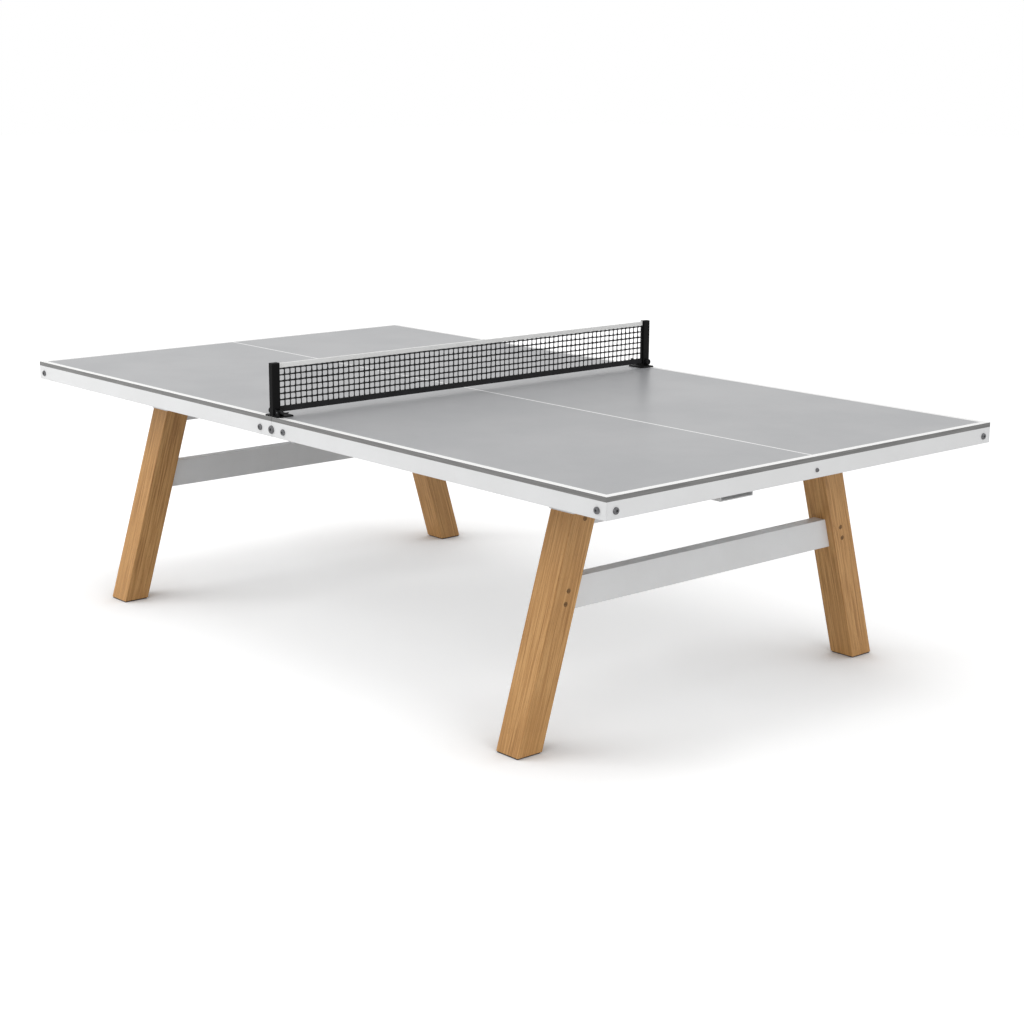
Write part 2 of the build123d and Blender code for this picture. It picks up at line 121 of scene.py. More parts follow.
def speckle_group():
    """The unevenness of any coated, moulded or pressed face. Height is noise of the grain's size plus a finer one
    at a third of its strength, Patches is slow noise of the patch's size, and Specks keeps only the peaks of a
    third noise, as dust nibs and pin holes."""
    takes = [("Place", "Vector", None), ("Grain", "Float", 0.001), ("Patch", "Float", 0.2)]
    gives = [("Height", "Float"), ("Patches", "Float"), ("Specks", "Float")]
    tree, given, out = new_group("speckle", takes, gives)
    fine = calc(tree, "DIVIDE", 1.0, given["Grain"])
    slow = calc(tree, "DIVIDE", 1.0, given["Patch"])
    coarse_grain = noise(tree, given["Place"], fine, 2.0, 0.55)
    fine_grain = noise(tree, given["Place"], calc(tree, "MULTIPLY", fine, 3.1), 1.0)
    height = calc(tree, "MULTIPLY_ADD", fine_grain, 0.33, coarse_grain)
    patches = noise(tree, given["Place"], slow, 4.0, 0.6)
    specks = noise(tree, given["Place"], calc(tree, "MULTIPLY", fine, 0.31), 1.0)
    peaks = span(tree, specks, 0.70, 0.76)
    wire(tree, out, {"Height": height, "Patches": span(tree, patches, 0.3, 0.7), "Specks": peaks})
    return tree


def soft_edge_group():
    """Sharp arrises as they really are: Normal turns over a small radius at each edge, and Wear is the share by
    which it has left the face's own normal, broken up by noise."""
    takes = [("Place", "Vector", None), ("Radius", "Float", 0.001)]
    tree, given, out = new_group("soft_edge", takes, [("Normal", "Vector"), ("Wear", "Float")])
    rounded = add(tree, "Bevel", {"Radius": given["Radius"]}, samples=4).outputs["Normal"]
    face = add(tree, "NewGeometry").outputs["Normal"]
    agree = add(tree, "VectorMath", {0: rounded, 1: face}, operation="DOT_PRODUCT").outputs["Value"]
    broken = span(tree, noise(tree, given["Place"], 90.0, 3.0), 0.35, 0.65)
    wear = calc(tree, "MULTIPLY", span(tree, agree, 0.995, 0.80), broken)
    wire(tree, out, {"Normal": rounded, "Wear": wear})
    return tree


speckle = speckle_group()
soft_edge = soft_edge_group()


def new_material(name, **constants):
    """A material with its tree, its shader and Object coordinates. Constants go on the shader's own sockets."""
    made = bpy.data.materials.new(name)
    made.use_nodes = True
    tree = made.node_tree
    shader = tree.nodes["Principled BSDF"]
    wire(tree, shader, {key.replace("_", " "): value for key, value in constants.items()})
    return made, tree, shader, add(tree, "TexCoord").outputs["Object"]


def raised(tree, height, distance, normal=None, strength=1.0):
    inputs = {"Height": height, "Distance": distance, "Strength": strength}
    if normal is not None:
        inputs["Normal"] = normal
    return add(tree, "Bump", inputs).outputs["Normal"]


def dress(names, material):
    for name in names:
        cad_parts[name].data.materials.clear()
        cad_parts[name].data.materials.append(material)


def laminate():
    """Line masks are distances from the board's outer edge and from its middle, with edges that wander by a tenth
    of a millimetre as printed ink does. The core's layers are noise squeezed flat along Z."""
    made, tree, shader, place = new_material("grey_laminate")
    x, y, z = add(tree, "SeparateXYZ", {0: place}).outputs
    wander = calc(tree, "MULTIPLY_ADD", noise(tree, place, 400.0), 2 * line_wander, -line_wander)
    far_x = calc(tree, "ADD", calc(tree, "ABSOLUTE", x), wander)
    far_y = calc(tree, "ADD", calc(tree, "ABSOLUTE", y), wander)
    end_x, end_y = board_high.x - border_line, board_high.y - border_line
    ink = 0.0001
    border = calc(tree, "MAXIMUM", span(tree, far_x, end_x - ink, end_x), span(tree, far_y, end_y - ink, end_y))
    middle = span(tree, far_y, centre_line / 2, centre_line / 2 - ink)
    on_top = calc(tree, "GREATER_THAN", z, board_high.z - 0.0003)
    lines = calc(tree, "MULTIPLY", calc(tree, "MAXIMUM", border, middle), on_top)
    uneven = use(tree, speckle, {"Place": place, "Grain": 0.0012, "Patch": 0.35})
    grey = mixed(tree, uneven["Patches"], board_grey, board_grey_cool)
    grey = mixed(tree, calc(tree, "MULTIPLY", uneven["Specks"], 0.10), grey, line_white)
    tired = calc(tree, "MULTIPLY", noise(tree, place, 55.0, 4.0, 0.7), 0.10)
    white = mixed(tree, tired, line_white, board_grey)
    squeezed = add(tree, "Mapping", {"Vector": place, "Scale": (9, 9, 620)}).outputs["Vector"]
    layers = span(tree, noise(tree, squeezed, 1.0, 3.0, 0.6), 0.3, 0.7)
    core = mixed(tree, layers, core_grey, core_grey_dark)
    underneath = calc(tree, "LESS_THAN", z, board_low.z + 0.0003)
    backing = mixed(tree, uneven["Patches"], backing_grey, backing_dull)
    core = mixed(tree, underneath, core, backing)
    top = mixed(tree, lines, grey, white)
    edge = use(tree, soft_edge, {"Place": place, "Radius": 0.0007})
    shown = mixed(tree, on_top, core, top)
    worn = mixed(tree, calc(tree, "MULTIPLY", edge["Wear"], 0.35), shown, core_grey_dark)
    gloss = calc(tree, "MULTIPLY_ADD", uneven["Patches"], 0.04, 0.31)
    gloss = calc(tree, "MULTIPLY_ADD", lines, 0.08, gloss)
    bumps = calc(tree, "MULTIPLY_ADD", lines, 1.2, uneven["Height"])
    normal = raised(tree, bumps, 0.00004, edge["Normal"], 0.6)
    wire(tree, shader, {"Base Color": worn, "Roughness": gloss, "Normal": normal})
    return made


dress(boards, laminate())

# ---- White frame -----------------------------------------------------------------------------------------------
# Folded 3 mm steel rails round the boards, square tube bearers under them, the box-section cross beams and the
# folded leg shoes. All of it is powder coated white after welding, which leaves a faint orange peel.

frame_parts = ["side_rail_front_left", "side_rail_front_right", "side_rail_back_left", "side_rail_back_right"]
frame_parts += ["end_rail_left", "end_rail_right", "centre_bearer_left", "centre_bearer_right"]
frame_parts += ["bearer_front_left", "bearer_front_right", "bearer_back_left", "bearer_back_right"]
frame_parts += ["mid_member_left", "mid_member_right", "upper_beam_left", "upper_beam_right"]
frame_parts += ["lower_beam_left", "lower_beam_right", "saddle_left", "saddle_right"]
frame_parts += ["leg_shoe_front_left", "leg_shoe_front_right", "leg_shoe_back_left", "leg_shoe_back_right"]
frame_parts += ["corner_brackets", "splice_plates", "seam_plate", "beam_end_plates"]
coat_white = (0.775, 0.78, 0.785, 1)
coat_dusty = (0.70, 0.70, 0.695, 1)
coat_thin = (0.52, 0.52, 0.525, 1)
orange_peel = 0.0022


def powder_coat(name, fresh, dusty, thin, peel, gloss, **constants):
    """Powder coat: peel is the size of its orange-peel dimples, dusty tints slow patches, and thin shows along
    the arrises, where powder pulls back from the edge as it melts."""
    made, tree, shader, place = new_material(name, **constants)
    uneven = use(tree, speckle, {"Place": place, "Grain": peel, "Patch": 0.16})
    edge = use(tree, soft_edge, {"Place": place, "Radius": 0.0009})
    colour = mixed(tree, calc(tree, "MULTIPLY", uneven["Patches"], 0.35), fresh, dusty)
    colour = mixed(tree, calc(tree, "MULTIPLY", uneven["Specks"], 0.10), colour, thin)
    colour = mixed(tree, calc(tree, "MULTIPLY", edge["Wear"], 0.45), colour, thin)
    shine = calc(tree, "MULTIPLY_ADD", uneven["Patches"], 0.09, gloss)
    normal = raised(tree, uneven["Height"], 0.00005, edge["Normal"], 0.7)
    wire(tree, shader, {"Base Color": colour, "Roughness": shine, "Normal": normal})
    return made


white_coat = powder_coat("white_powder_coat", coat_white, coat_dusty, coat_thin, orange_peel, 0.34)
dress(frame_parts, white_coat)

# ---- Bolts, nuts, screws and pins ------------------------------------------------------------------------------
# Hex-socket bolts through the rails into nuts behind them, screws up into the boards and legs, and slotted cross
# dowels in the legs. They are zinc plated, brighter where a tool or a washer has rubbed; the dowels, which show in
# the timber, are passivated bronze to sit quietly in it.

frame_fixings = ["corner_bolts", "splice_bolts", "end_rail_bolts", "rail_nuts"]
frame_fixings += ["board_screws", "shoe_screws", "lever_pins"]
zinc_dark = (0.11, 0.11, 0.115, 1)
zinc_grey = (0.30, 0.30, 0.31, 1)
zinc_bright = (0.70, 0.70, 0.71, 1)
bronze_dark = (0.175, 0.098, 0.044, 1)
bronze_grey = (0.32, 0.185, 0.088, 1)
bronze_bright = (0.50, 0.32, 0.17, 1)


def plating(name, dark, middle, bright):
    """Crystals of the plating are small cells with a tone each; edges and a few rubbed places show it bright."""
    made, tree, shader, place = new_material(name, Metallic=1.0)
    cells = add(tree, "TexVoronoi", {"Vector": place, "Scale": 900.0})
    tone = add(tree, "SeparateColor", {0: cells.outputs["Color"]}).outputs[0]
    uneven = use(tree, speckle, {"Place": place, "Grain": 0.0006, "Patch": 0.006})
    edge = use(tree, soft_edge, {"Place": place, "Radius": 0.0005})
    blend = calc(tree, "MULTIPLY_ADD", tone, 0.35, calc(tree, "MULTIPLY", uneven["Patches"], 0.5), clamp=True)
    colour = mixed(tree, blend, dark, middle)
    colour = mixed(tree, calc(tree, "MULTIPLY", edge["Wear"], 0.8), colour, bright)
    shine = calc(tree, "MULTIPLY_ADD", uneven["Patches"], 0.16, 0.30)
    normal = raised(tree, uneven["Height"], 0.00002, edge["Normal"])
    wire(tree, shader, {"Base Color": colour, "Roughness": shine, "Normal": normal})
    return made


dress(frame_fixings, plating("bright_zinc", zinc_dark, zinc_grey, zinc_bright))
dress(["cross_dowels"], plating("bronze_zinc", bronze_dark, bronze_grey, bronze_bright))

# ---- Timber legs -----------------------------------------------------------------------------------------------
# Four solid legs of straight-grained golden hardwood, planed, with lightly broken edges and an oil finish. Each
# is sawn from its own plank, so the grain follows the leaning leg and its growth rings are bent its own way.

leg_lean = radians(16.6)
leg_depth = 0.086
pale_wood = (0.600, 0.330, 0.121, 1)
golden_wood = (0.490, 0.250, 0.081, 1)
brown_wood = (0.335, 0.155, 0.043, 1)
pore_brown = (0.150, 0.068, 0.022, 1)
ring_spacing = 0.0042
# Where the tree's heart lies from each leg's own middle, across and through the plank.
hearts = {
    "front_left": (0.16, 0.05),
    "front_right": (-0.11, 0.12),
    "back_left": (0.07, -0.15),
    "back_right": (0.19, 0.02),
}


def straight_grain_group():
    """Wood along Z, measured from the tree's heart. Rings is the sawtooth of the distance from the heart over the
    ring spacing, pushed about by slow noise. Streaks and Fibres are noise drawn out 40 and 90 times along the
    grain, and Pores keeps the peaks of short fine dashes."""
    takes = [("Place", "Vector", None), ("Ring spacing", "Float", 0.004)]
    gives = [("Rings", "Float"), ("Streaks", "Float"), ("Fibres", "Float"), ("Pores", "Float"), ("Height", "Float")]
    tree, given, out = new_group("straight_grain", takes, gives)

    def drawn_out(across, along, detail, roughness=0.55):
        scale = {"Vector": given["Place"], "Scale": (across, across, along)}
        return noise(tree, add(tree, "Mapping", scale).outputs["Vector"], 1.0, detail, roughness)

    x, y, _ = add(tree, "SeparateXYZ", {0: given["Place"]}).outputs
    drift = calc(tree, "MULTIPLY_ADD", drawn_out(14.0, 1.6, 3.0), 0.034, -0.017)
    flat = add(tree, "CombineXYZ", {0: calc(tree, "ADD", x, drift), 1: calc(tree, "ADD", y, drift)}).outputs[0]
    radius = add(tree, "VectorMath", {0: flat}, operation="LENGTH").outputs["Value"]
    turn = calc(tree, "DIVIDE", radius, given["Ring spacing"])
    saw = calc(tree, "FRACT", turn)
    late = calc(tree, "MULTIPLY", span(tree, saw, 0.25, 0.92), span(tree, saw, 1.0, 0.93))
    streaks = span(tree, drawn_out(210.0, 5.5, 4.0, 0.62), 0.32, 0.68)
    fibres = drawn_out(900.0, 10.0, 2.0)
    dashes = span(tree, drawn_out(1500.0, 60.0, 1.0), 0.63, 0.72)
    pores = calc(tree, "MULTIPLY", dashes, calc(tree, "MULTIPLY_ADD", late, 0.6, 0.4))
    height = calc(tree, "SUBTRACT", fibres, pores)
    wire(tree, out, {"Rings": late, "Streaks": streaks, "Fibres": fibres, "Pores": pores, "Height": height})
    return tree


straight_grain = straight_grain_group()


def oiled_timber(corner, number):
    """The plank's own axes: Object coordinates are turned upright by the leg's lean and moved so that the leg's
    middle stands as far from the heart as the plank did."""
    made, tree, shader, place = new_material("oiled_timber_" + corner)
    low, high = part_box("leg_" + corner)
    front = low.y < 0 and abs(low.y) > abs(high.y)
    lean = leg_lean if front else -leg_lean
    foot_y = low.y + leg_depth / 2 if front else high.y - leg_depth / 2
    across, through = hearts[corner]
    shift = (across - (low.x + high.x) / 2, through - foot_y * cos(lean), 3.7 * number)
    turned = add(tree, "Mapping", {"Vector": place, "Rotation": (lean, 0, 0), "Location": shift})
    wood = use(tree, straight_grain, {"Place": turned.outputs["Vector"], "Ring spacing": ring_spacing})
    edge = use(tree, soft_edge, {"Place": place, "Radius": 0.0012})
    drawn = add(tree, "Mapping", {"Vector": turned.outputs["Vector"], "Scale": (16, 16, 3.0)}).outputs["Vector"]
    calm = span(tree, noise(tree, drawn, 1.0, 3.0), 0.35, 0.65, 0.45, 1.05)
    streaks = calc(tree, "MULTIPLY_ADD", calc(tree, "SUBTRACT", wood["Streaks"], 0.5), calm, 0.30)
    tone = calc(tree, "MULTIPLY_ADD", wood["Rings"], 0.16, streaks)
    tone = calc(tree, "ADD", tone, calc(tree, "MULTIPLY_ADD", wood["Fibres"], 0.5, -0.22), clamp=True)
    light = mixed(tree, span(tree, tone, 0.05, 0.50), pale_wood, golden_wood)
    colour = mixed(tree, span(tree, tone, 0.48, 0.98), light, brown_wood)
    colour = mixed(tree, calc(tree, "MULTIPLY", wood["Pores"], 0.70), colour, pore_brown)
    colour = mixed(tree, calc(tree, "MULTIPLY", edge["Wear"], 0.30), colour, pale_wood)
    shine = calc(tree, "MULTIPLY_ADD", wood["Fibres"], 0.25, 0.36)
    normal = raised(tree, wood["Height"], 0.00016, edge["Normal"], 0.5)
    wire(tree, shader, {"Base Color": colour, "Roughness": shine, "Normal": normal})
    return made


for number, corner in enumerate(hearts):
    dress(["leg_" + corner], oiled_timber(corner, number))

# ---- Foot glides and board pads --------------------------------------------------------------------------------
# Moulded black nylon glides pinned under the legs, inset from the timber, and rubber pads between the bearers and
# the boards. Both are matt, with the mould's spark-eroded texture.

glide_black = (0.030, 0.029, 0.028, 1)
glide_scuffed = (0.085, 0.082, 0.078, 1)
pad_black = (0.022, 0.022, 0.023, 1)
pad_dusty = (0.060, 0.059, 0.057, 1)


def moulded(name, fresh, rubbed, grain, gloss, **constants):
    """A moulded face: grain is the size of the texture's pips, and rubbed tints the patches and the edges."""
    made, tree, shader, place = new_material(name, **constants)
    uneven = use(tree, speckle, {"Place": place, "Grain": grain, "Patch": 0.03})
    edge = use(tree, soft_edge, {"Place": place, "Radius": 0.0005})
    worn = calc(tree, "MULTIPLY_ADD", edge["Wear"], 0.6, calc(tree, "MULTIPLY", uneven["Patches"], 0.3), clamp=True)
    colour = mixed(tree, worn, fresh, rubbed)
    shine = calc(tree, "MULTIPLY_ADD", uneven["Patches"], 0.12, gloss)
    normal = raised(tree, uneven["Height"], 0.00005, edge["Normal"], 0.8)
    wire(tree, shader, {"Base Color": colour, "Roughness": shine, "Normal": normal})
    return made


dress(["foot_glides"], moulded("black_glide", glide_black, glide_scuffed, 0.0009, 0.55))
dress(["board_pads"], moulded("rubber_pad", pad_black, pad_dusty, 0.0007, 0.75))

# ---- Net sockets -----------------------------------------------------------------------------------------------
# Two turned brass bushings pressed into the seam of the boards, that take the posts' spigots. The lathe leaves
# fine rings round the bore.

brass = (0.62, 0.45, 0.19, 1)
brass_dull = (0.38, 0.27, 0.12, 1)
sockets = ["net_socket_front", "net_socket_back"]


def turned_brass():
    """Tool rings are noise squeezed along Z, where the bushing's axis is; tarnish follows slow patches."""
    made, tree, shader, place = new_material("turned_brass", Metallic=1.0)
    squeezed = add(tree, "Mapping", {"Vector": place, "Scale": (30, 30, 5000)}).outputs["Vector"]
    rings = noise(tree, squeezed, 1.0, 1.0)
    uneven = use(tree, speckle, {"Place": place, "Grain": 0.0008, "Patch": 0.01})
    colour = mixed(tree, uneven["Patches"], brass, brass_dull)
    shine = calc(tree, "MULTIPLY_ADD", uneven["Patches"], 0.2, 0.24)
    wire(tree, shader, {"Base Color": colour, "Roughness": shine, "Normal": raised(tree, rings, 0.00003)})
    return made


dress(sockets, turned_brass())

# ---- Net posts, feet, caps, levers and knobs ---------------------------------------------------------------------
# Square steel posts welded to foot plates, powder coated a fine matt black, with moulded nylon caps, lock levers
# and notched tension knobs.

post_black = (0.0040, 0.0040, 0.0043, 1)
post_dusty = (0.0085, 0.0085, 0.0085, 1)
post_thin = (0.024, 0.024, 0.025, 1)
nylon_black = (0.0040, 0.0040, 0.0043, 1)
nylon_rubbed = (0.018, 0.018, 0.019, 1)
steel_black = ["net_post_front", "net_post_back", "net_foot_front", "net_foot_back"]
nylon_parts = ["post_caps", "lock_lever_front", "lock_lever_back", "tension_knob_front", "tension_knob_back"]

black_coat = powder_coat(
    "black_powder_coat", post_black, post_dusty, post_thin, 0.0008, 0.50, Specular_IOR_Level=0.12
)
dress(steel_black, black_coat)
dress(nylon_parts, moulded("black_nylon", nylon_black, nylon_rubbed, 0.0007, 0.52, Specular_IOR_Level=0.15))

# ---- Net ---------------------------------------------------------------------------------------------------------
# A knotted net of flat black braid, 77 squares long and six high, laced between a folded white tape at the top and
# a black band at the bottom. Every crossing has a knot, so the strings swell and wander a little there.

mesh_low, mesh_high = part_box("net_mesh")
columns, rows = 77, 6
braid_width = 0.0042
braid_depth = 0.0019
knot_swell = 0.55
knot_wide, knot_tall, knot_deep = 0.0056, 0.0066, 0.0030
top_gap = 0.003
net_wander = 0.00045
net_black = (0.014, 0.014, 0.015, 1)
net_worn = (0.040, 0.040, 0.042, 1)
chance = np.random.default_rng(7)


def tubes(rings):
    """Vertices and faces of closed tubes. rings holds points by tube, ring and side; side faces join each ring to
    the next, and a many-sided face closes both ends."""
    count, along, around, _ = rings.shape
    number = np.arange(count * along * around).reshape(count, along, around)
    turned_one = np.roll(number, -1, axis=2)
    walls = np.stack([number[:, :-1], turned_one[:, :-1], turned_one[:, 1:], number[:, 1:]], axis=-1)
    ends = np.concatenate([number[:, 0, ::-1], number[:, -1]])
    return rings.reshape(-1, 3), walls.reshape(-1, 4).tolist() + ends.tolist()


def joined(parts):
    """One list of vertices and one of faces out of several pairs of them."""
    points, faces, start = [], [], 0
    for some_points, some_faces in parts:
        points.append(some_points)
        faces += [[start + i for i in face] for face in some_faces]
        start += len(some_points)
    return np.concatenate(points), faces


def new_piece(name, points, faces, material, body, slot, smooth=True):
    """A finished mesh at the origin, riding on its body."""
    mesh = bpy.data.meshes.new(name)
    mesh.from_pydata(points.tolist(), [], faces)
    mesh.polygons.foreach_set("use_smooth", np.full(len(mesh.polygons), smooth))
    mesh.validate()
    mesh.materials.append(material)
    piece = bpy.data.objects.new(name, mesh)
    bpy.context.scene.collection.objects.link(piece)
    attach(piece, body)
    return piece


def strings(starts, ends, crossings):
    """Flat braids from starts to ends in the net's plane. Each has four rings to every crossing; its middle line
    wanders by smooth noise, and its half width is the braid's, swollen at each crossing by a narrow bell curve.
    A ring is the ellipse of half width across the string and half depth across the net."""
    count, steps, around = len(starts), 4 * crossings + 1, 8
    way = np.linspace(0, 1, steps)[None, :, None]
    line = starts[:, None] * (1 - way) + ends[:, None] * way
    along = (ends - starts) / np.linalg.norm(ends - starts, axis=1, keepdims=True)
    across = np.cross(along, [1.0, 0, 0])[:, None]
    drift = chance.normal(0, net_wander, (count, steps + 4))
    drift = np.stack([drift[:, i : i + steps] for i in range(5)]).mean(0) * 2
    line = line + across * (drift * np.sin(pi * way[0, :, 0]) ** 0.5)[..., None]
    from_knot = np.abs((way[0, :, 0] * crossings + 0.5) % 1 - 0.5)
    swell = 1 + knot_swell * np.exp(-((from_knot / 0.16) ** 2))
    half_width = swell * (braid_width / 2) * chance.uniform(0.9, 1.1, (count, 1))
    turn = np.arange(around) * 2 * pi / around
    ring = across[:, :, None] * (half_width[..., None] * np.cos(turn))[..., None]
    depth = (braid_depth / 2) * (0.75 + 0.25 * swell)
    ring = ring + np.array([1.0, 0, 0]) * (depth[:, None] * np.sin(turn))[None, ..., None]
    return tubes(line[:, :, None] + ring)


def knots(centres, wide, tall, deep):
    """Low egg-shaped knots: five rings whose size follows the sine of the way from pole to pole, each knot turned
    a little in the net's plane."""
    pole = np.linspace(0.12, 0.88, 5) * pi
    turn = np.arange(8) * 2 * pi / 8
    tilt = chance.normal(0.6, 0.25, len(centres)) * np.where(np.arange(len(centres)) % 2, 1, -1)
    size = chance.uniform(0.88, 1.12, (len(centres), 1, 1))
    out = np.sin(pole)[None, :, None] * np.cos(turn)[None, None, :] * wide / 2 * size
    up = np.broadcast_to(np.cos(pole)[None, :, None] * tall / 2 * size, out.shape)
    thick = np.sin(pole)[None, :, None] * np.sin(turn)[None, None, :] * deep / 2 * size
    c, s = np.cos(tilt)[:, None, None], np.sin(tilt)[:, None, None]
    shape = np.stack([thick, out * c - up * s, out * s + up * c], axis=-1)
    return tubes(centres[:, None, None] + shape)


def braid(name, fresh, worn, cell, **constants):
    """Braided or woven thread: two crossed sets of bands, tilted both ways, whose crests stand up; rubbed crests
    are lighter."""
    made, tree, shader, place = new_material(name, **constants)
    crests = []
    for tilt in (pi / 4, -pi / 4):
        turned = add(tree, "Mapping", {"Vector": place, "Rotation": (tilt, 0, 0), "Scale": (1, 1, 1)})
        bands = {"Vector": turned.outputs["Vector"], "Scale": 0.314 / cell, "Distortion": 0.4}
        crests.append(add(tree, "TexWave", bands, bands_direction="Y").outputs["Fac"])
    height = calc(tree, "MAXIMUM", *crests)
    uneven = use(tree, speckle, {"Place": place, "Grain": cell / 3, "Patch": 0.05})
    worn_share = calc(tree, "MULTIPLY", height, calc(tree, "MULTIPLY_ADD", uneven["Patches"], 0.5, 0.15))
    colour = mixed(tree, worn_share, fresh, worn)
    fuzz = calc(tree, "MULTIPLY_ADD", uneven["Height"], 0.4, height)
    shine = calc(tree, "MULTIPLY_ADD", uneven["Patches"], 0.1, 0.82)
    wire(tree, shader, {"Base Color": colour, "Roughness": shine, "Normal": raised(tree, fuzz, 0.00018)})
    return made


net_plane = (mesh_low.x + mesh_high.x) / 2
string_y = np.linspace(mesh_low.y + braid_width / 2, mesh_high.y - braid_width / 2, columns + 1)
string_z = np.linspace(mesh_low.z, mesh_high.z - top_gap, rows + 1)[1:]
uprights_low = np.stack([np.full(columns + 1, net_plane), string_y, np.full(columns + 1, mesh_low.z)], axis=1)
uprights_high = uprights_low + [0, 0, mesh_high.z - mesh_low.z]
levels_near = np.stack([np.full(rows, net_plane), np.full(rows, mesh_low.y), string_z], axis=1)
levels_far = levels_near + [0, mesh_high.y - mesh_low.y, 0]
crossing = np.stack(np.meshgrid([net_plane], string_y, string_z[:-1], indexing="ij"), axis=-1).reshape(-1, 3)
net_parts = [strings(uprights_low, uprights_high, rows), strings(levels_near, levels_far, columns)]
net_parts.append(knots(crossing, knot_wide, knot_tall, knot_deep))
net_braid = braid("net_braid", net_black, net_worn, 0.0011, Specular_IOR_Level=0.2)
net = new_piece("net_strings", *joined(net_parts), net_braid, "net_set", "black_net")
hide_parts("net_mesh")

# ---- Net tape and bottom band ------------------------------------------------------------------------------------
# A white woven tape folded over the net's cord and a black band folded round its foot. Both are lockstitched
# through both layers near the hem, and the thread pulls small puckers into the cloth.

tape_low, tape_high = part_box("net_tape")
band_low, band_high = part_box("net_bottom_band")
cloth_thickness = 0.0007
stitch_length, stitch_pitch = 0.0032, 0.0045
stitch_radius = 0.00035
hem_gap = 0.0026
fold_radius = 0.0016
sewn_from_hem = 0.0035
tape_white = (0.90, 0.90, 0.89, 1)
tape_shade = (0.78, 0.78, 0.77, 1)
band_black = (0.013, 0.013, 0.014, 1)
band_worn = (0.036, 0.036, 0.038, 1)


def folded_cloth(low, high, fold_up):
    """A strip folded once along its middle and carried along Y. The middle line of its section runs up one side
    at half the hem's gap, widening to the fold's radius, round a half circle, and down the other side. Each
    side is moved out and in by half the cloth's thickness, and small waves of the stitch's pitch pucker it."""
    height = high.z - low.z
    half = cloth_thickness / 2
    straight = np.linspace(0, height - fold_radius - half, 9)
    bend = np.linspace(0, pi, 11)[1:-1]
    gap = hem_gap / 2 + (fold_radius - hem_gap / 2) * (straight / straight[-1]) ** 2
    across = np.concatenate([-gap, -fold_radius * np.cos(bend), gap[::-1]])
    up = np.concatenate([straight, straight[-1] + fold_radius * np.sin(bend), straight[::-1]])
    middle = np.stack([across, up], axis=1)
    way = np.gradient(middle, axis=0)
    out = np.stack([-way[:, 1], way[:, 0]], axis=1) / np.linalg.norm(way, axis=1, keepdims=True)
    section = np.concatenate([middle + out * half, (middle - out * half)[::-1]])
    steps = int((high.y - low.y) / stitch_pitch * 2)
    y = np.linspace(low.y, high.y, steps + 1)
    near_hem = np.exp(-((section[:, 1] - sewn_from_hem) ** 2) / 0.003**2)
    pucker = 0.00018 * np.cos(2 * pi * y / stitch_pitch)[:, None] * near_hem * np.sign(section[:, 0])
    slow = np.convolve(chance.normal(0, 0.0004, steps + 41), np.ones(41) / 41 * 3, "valid")
    x = section[:, 0] + pucker + slow[:, None] * 0.6
    z = section[:, 1] * (1 + slow[:, None] * 12)
    z = (low.z + z) if fold_up else (high.z - z)
    z = np.clip(z, low.z, high.z)
    return tubes(np.stack([x, np.broadcast_to(y[:, None], x.shape), z], axis=-1)[None])


def stitches(low, high, level, out):
    """A row of lockstitches on each face: small closed beads, three rings of six points each, sunk at both ends."""
    y = np.arange(low.y + stitch_pitch, high.y - stitch_pitch, stitch_pitch)
    way = np.linspace(-1, 1, 3)
    radius = stitch_radius * np.sqrt(1.15 - way**2)
    turn = np.arange(6) * 2 * pi / 6
    rows_made = []
    for face in (-1, 1):
        along = y[:, None, None] + way[None, :, None] * stitch_length / 2
        along = along + np.zeros((1, 1, 6)) + chance.normal(0, 0.0001, (len(y), 1, 1))
        x = face * (out + radius[None, :, None] * np.cos(turn)) + np.zeros_like(along)
        z = level + radius[None, :, None] * np.sin(turn) + chance.normal(0, 0.0001, (len(y), 1, 1))
        points = np.stack([x, along, z + np.zeros_like(along)], axis=-1)
        rows_made.append(tubes(points if face < 0 else points[:, :, ::-1]))
    return joined(rows_made)


def net_strip(name, low, high, fold_up, material, thread, slot, node, held_by):
    """The folded strip, its stitching, and what the strip was cut to."""
    points, faces = folded_cloth(low, high, fold_up)
    strip = new_piece(name, points, faces, material, "net_set", slot)
    level = low.z + sewn_from_hem if fold_up else high.z - sewn_from_hem
    sewing = stitches(low, high, level, hem_gap / 2 + cloth_thickness / 2)
    thread_piece = new_piece(name + "_stitching", *sewing, thread, "net_set", slot)
    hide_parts(node)


white_cloth = braid("white_tape_cloth", tape_white, tape_shade, 0.0012)
white_thread = braid("white_thread", tape_shade, tape_white, 0.0006)
black_cloth = braid("black_band_cloth", band_black, band_worn, 0.0012, Specular_IOR_Level=0.25)
black_thread = braid("black_thread", band_worn, band_black, 0.0006, Specular_IOR_Level=0.25)
top_looks = (white_cloth, white_thread, "white_tape", "net_tape")
foot_looks = (black_cloth, black_thread, "black_net", "net_bottom_band")
net_strip("net_top_tape", tape_low, tape_high, True, *top_looks, ["net_cord"])
net_strip("net_foot_band", band_low, band_high, False, *foot_looks, ["net_post_front", "net_post_back"])
dress(["net_cord"], braid("braided_cord", tape_white, tape_shade, 0.0008))

# ---- Floor, light and camera -------------------------------------------------------------------------------------
# A pale seamless floor with a painted glow that the camera alone sees, held back by ambient occlusion so that it
# paints contact shadows near the feet; an even white surround; and four soft lamps: one low on the left, a larger
# one in front on the left, one overhead and one on the right. The camera stands off the front right corner at
# standing height.

floor_half = 40.0
surround = 0.69
floor_white = (0.80, 0.80, 0.80, 1)
floor_patch = (0.81, 0.81, 0.81, 1)
lift_near, lift_far = 0.42, 0.66
lift_from, lift_to = 2.2, 9.0
contact_reach = 0.55


def seen_by_camera(tree):
    """1 where the camera looks straight at a surface or the surround, and 0 for the light that they give."""
    return add(tree, "LightPath").outputs["Is Camera Ray"]


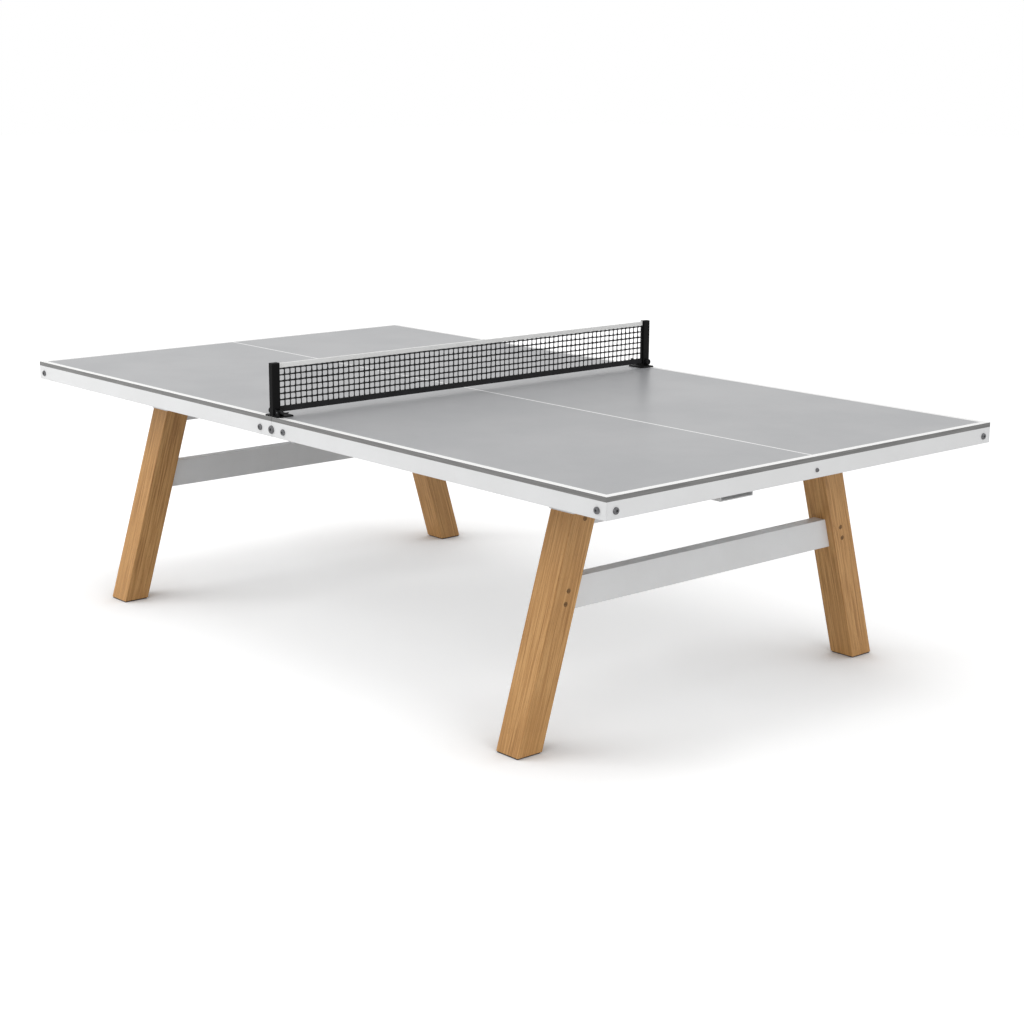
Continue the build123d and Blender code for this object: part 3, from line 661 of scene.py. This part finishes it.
def stage_floor():
    """A seamless sheet that reads white. A painted glow, seen by the camera alone, lifts it more the farther it
    lies from the table, and ambient occlusion holds it back where a place is shut in, which paints contact shadows
    round the feet. From below it is clear."""
    points = np.array([[-1, -1, 0], [1, -1, 0], [1, 1, 0], [-1, 1, 0]], float) * floor_half
    made, tree, shader, place = new_material("pale_floor", Roughness=0.9, Specular_IOR_Level=0.0)
    tint = mixed(tree, noise(tree, place, 0.8, 3.0), floor_white, floor_patch)
    far = add(tree, "VectorMath", {0: place}, operation="LENGTH").outputs["Value"]
    painted_glow = calc(tree, "MULTIPLY_ADD", span(tree, far, lift_from, lift_to), lift_far - lift_near, lift_near)
    # Painted shade: ambient occlusion dims the painted glow near the feet and under the table, painting contact
    # shadows there.
    open_air = add(tree, "AmbientOcclusion", {"Distance": contact_reach}, samples=8).outputs["AO"]
    painted_glow = calc(tree, "MULTIPLY", painted_glow, calc(tree, "POWER", open_air, 3.0))
    painted_glow = calc(tree, "MULTIPLY", seen_by_camera(tree), painted_glow)
    wire(tree, shader, {"Base Color": tint, "Emission Color": (1, 1, 1, 1), "Emission Strength": painted_glow})
    clear = add(tree, "BsdfTransparent").outputs["BSDF"]
    below = add(tree, "NewGeometry").outputs["Backfacing"]
    shown = add(tree, "MixShader", {0: below, 1: shader.outputs["BSDF"], 2: clear}).outputs["Shader"]
    wire(tree, tree.nodes["Material Output"], {"Surface": shown})
    mesh = bpy.data.meshes.new("floor")
    mesh.from_pydata(points.tolist(), [], [[0, 1, 2, 3]])
    mesh.materials.append(made)
    floor = bpy.data.objects.new("floor", mesh)
    bpy.context.scene.collection.objects.link(floor)


def lamp(name, place, aim, size, power):
    """A square lamp that lights but isn't mirrored: the boards mirror the even surround alone."""
    light = bpy.data.lights.new(name, "AREA")
    light.shape, light.size, light.energy = "SQUARE", size, power
    holder = bpy.data.objects.new(name, light)
    holder.location = place
    holder.rotation_euler = (Vector(aim) - Vector(place)).to_track_quat("-Z", "Y").to_euler()
    holder.visible_glossy = False
    bpy.context.scene.collection.objects.link(holder)


stage_floor()
lamp("low_left_lamp", (-6.0, -5.5, 2.3), (0, 0, 0.3), 2.5, 78)
lamp("front_left_lamp", (-3.2, -5.2, 4.2), (0, 0, 0.4), 4.0, 115)
lamp("overhead_lamp", (0, 0, 5.0), (0, 0, 0), 4.5, 60)
lamp("right_lamp", (6.0, -1.0, 2.6), (0.5, 0, 0.5), 3.0, 50)

world = bpy.data.worlds.new("studio")
world.use_nodes = True
sky = world.node_tree
mirrored = add(sky, "LightPath").outputs["Is Glossy Ray"]
bright = calc(sky, "MAXIMUM", seen_by_camera(sky), mirrored)
strength = calc(sky, "MULTIPLY_ADD", bright, 1.0 - surround, surround)
wire(sky, sky.nodes["Background"], {"Color": (1, 1, 1, 1), "Strength": strength})
bpy.context.scene.world = world
bpy.context.scene.view_settings.view_transform = "Standard"

eye = Vector((4.4885, -3.8238, 1.7355))
heading, tilt, roll = radians(138.4205), radians(-13.0576), radians(0.364)
forward = Vector((cos(tilt) * cos(heading), cos(tilt) * sin(heading), sin(tilt)))
right = forward.cross(Vector((0, 0, 1))).normalized()
above = right.cross(forward)
right, above = right * cos(roll) + above * sin(roll), above * cos(roll) - right * sin(roll)
camera = bpy.data.objects.new("camera", bpy.data.cameras.new("camera"))
camera.data.lens = 67.35
camera.data.sensor_width = 36
camera.data.clip_end = 200
camera.matrix_world = Matrix.Translation(eye) @ Matrix((right, above, -forward)).transposed().to_4x4()
bpy.context.scene.collection.objects.link(camera)
bpy.context.scene.camera = camera
